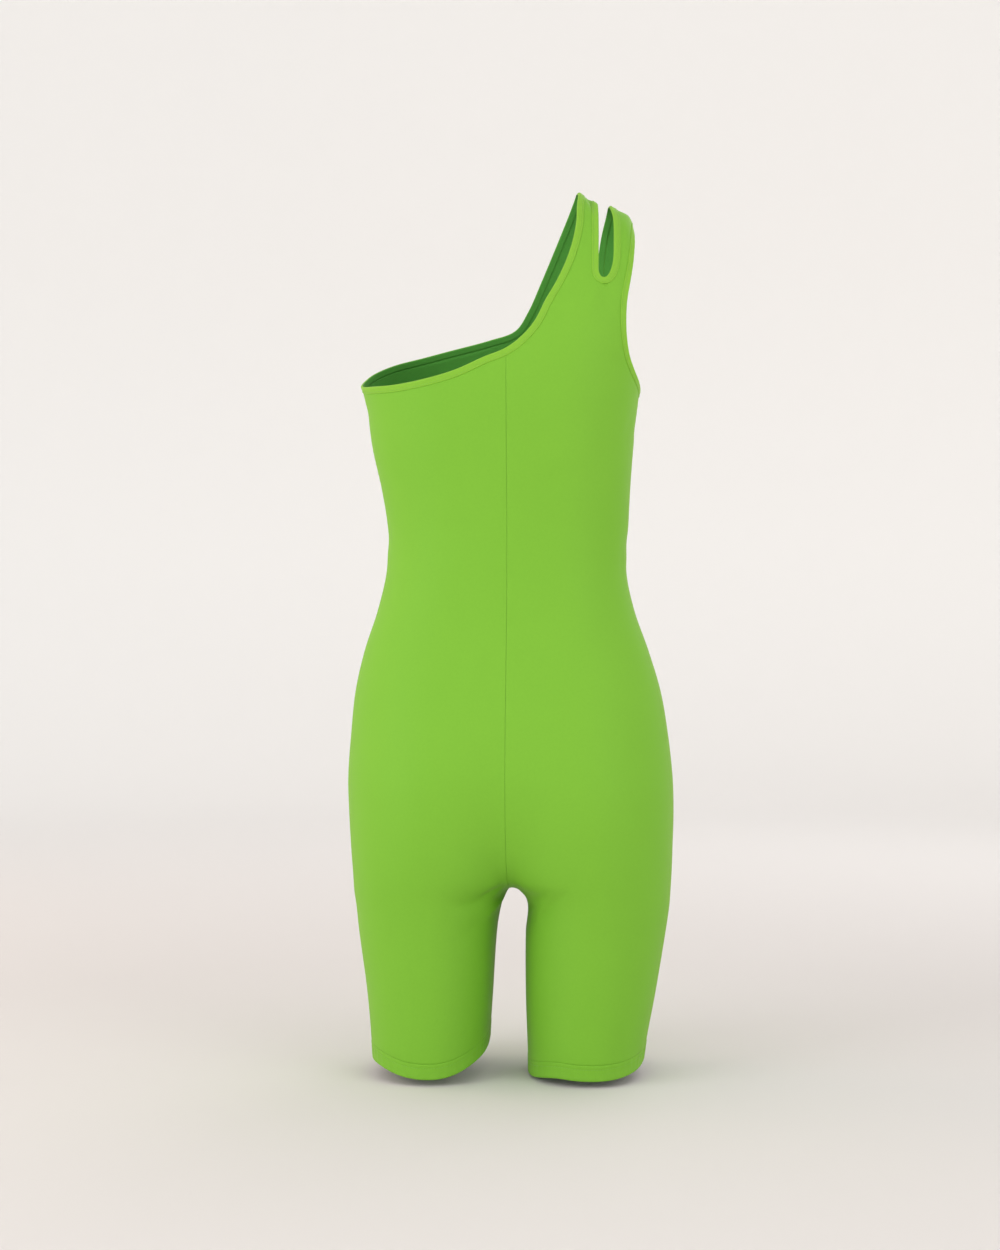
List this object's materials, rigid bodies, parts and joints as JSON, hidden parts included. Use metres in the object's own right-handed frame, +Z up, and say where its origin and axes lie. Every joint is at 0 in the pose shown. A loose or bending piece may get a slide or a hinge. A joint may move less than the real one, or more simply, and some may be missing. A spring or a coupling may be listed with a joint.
{
  "type": "one-shoulder unitard",
  "caption": "Close-fitting short-legged stretch-knit unitard with one shoulder, a slotted double strap, narrow edge bindings and stitched leg hems, filled out as worn.",
  "frame": {"origin": "Under side of the cloth on top of the wearer's right shoulder, midway between the two straps, where the wearer holds the garment up", "axes": "+Z up, from the leg hems to the shoulder; the wearer faces -Y, so +Y is the back; -X is the wearer's right, the side with the straps"},
  "size_m": [0.324, 0.2268, 0.8748],
  "materials": {
    "cloth": "smooth matt stretch knit, bright lime green, darker inside",
    "binding": "folded stretch-knit binding, bright lime green, stitched along its inner side"
  },
  "bodies": {
    "root": {"back_left": "cloth", "back_right": "cloth", "front_left": "cloth", "front_right": "cloth", "binding_neck": "binding", "binding_armhole": "binding", "binding_slot": "binding", "hem_left": "cloth", "hem_right": "cloth"}
  },
  "joints": []
}
